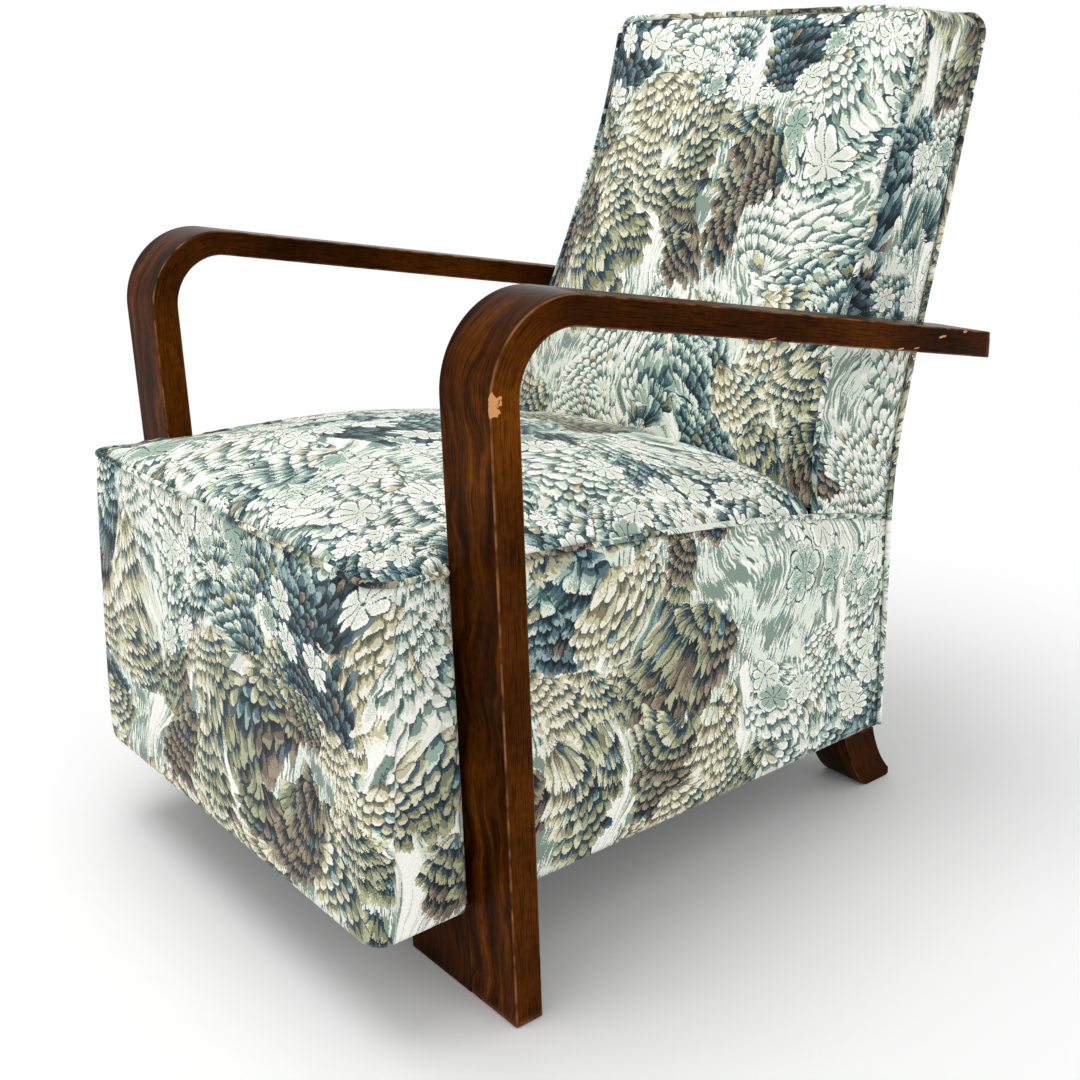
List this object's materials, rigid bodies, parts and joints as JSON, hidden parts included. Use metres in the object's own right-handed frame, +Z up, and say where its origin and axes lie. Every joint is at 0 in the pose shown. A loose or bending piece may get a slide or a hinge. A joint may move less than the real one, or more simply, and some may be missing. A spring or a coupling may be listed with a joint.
{
  "type": "fauteuil",
  "caption": "Upholstered armchair with a deep sprung seat box, tall reclined back with corded seams, and flat wooden boards bent into front legs and armrests.",
  "frame": {"origin": "on the floor, under the middle of the chair's overall width and depth", "axes": "+Z up, +X towards the sitter's left, -Y towards the front"},
  "size_m": [0.68, 0.8606, 0.8588],
  "materials": {
    "walnut": "satin lacquer on walnut-stained beech",
    "beech": "raw planed beech",
    "cover": "jacquard weave with a foliage pattern in greens, blues and creams",
    "piping": "self piping in the jacquard of the cover",
    "jute": "plain jute weave",
    "cambric": "black cambric",
    "spring_wire": "bare spring wire",
    "steel": "bright wood screws"
  },
  "bodies": {
    "root": {"arm_left": "walnut", "arm_right": "walnut", "foot_block_left": "walnut", "foot_block_right": "walnut", "rear_foot_left": "walnut", "rear_foot_right": "walnut", "arm_spacer_left": "beech", "arm_spacer_right": "beech", "leg_screw_lower_left": "steel", "leg_screw_lower_right": "steel", "leg_screw_upper_left": "steel", "leg_screw_upper_right": "steel", "arm_screw_left": "steel", "arm_screw_right": "steel", "foot_block_screw_left": "steel", "foot_block_screw_right": "steel", "rear_foot_dowel_left": "beech", "rear_foot_dowel_right": "beech", "front_post_left": "beech", "front_post_right": "beech", "bottom_rail_front": "beech", "seat_rail_front": "beech", "bottom_rail_left": "beech", "bottom_rail_right": "beech", "seat_rail_left": "beech", "seat_rail_right": "beech", "stile_left": "beech", "stile_right": "beech", "bottom_rail_rear": "beech", "back_rail_lower": "beech", "back_rail_lumbar": "beech", "back_rail_top": "beech", "corner_block_left": "beech", "corner_block_right": "beech", "seat_webbing": "jute", "back_webbing": "jute", "seat_spring_1": "spring_wire", "seat_spring_2": "spring_wire", "seat_spring_3": "spring_wire", "seat_spring_4": "spring_wire", "seat_spring_5": "spring_wire", "seat_spring_6": "spring_wire", "seat_spring_7": "spring_wire", "seat_spring_8": "spring_wire", "seat_spring_9": "spring_wire", "seat_hessian": "jute", "seat_cushion": "cover", "back_cushion": "cover", "front_panel": "cover", "side_panel_left": "cover", "side_panel_right": "cover", "back_boxing_left": "cover", "back_boxing_right": "cover", "back_boxing_top": "cover", "outside_back": "cover", "seat_piping": "piping", "back_piping": "piping", "outside_piping": "piping", "dust_cover": "cambric"}
  },
  "joints": []
}
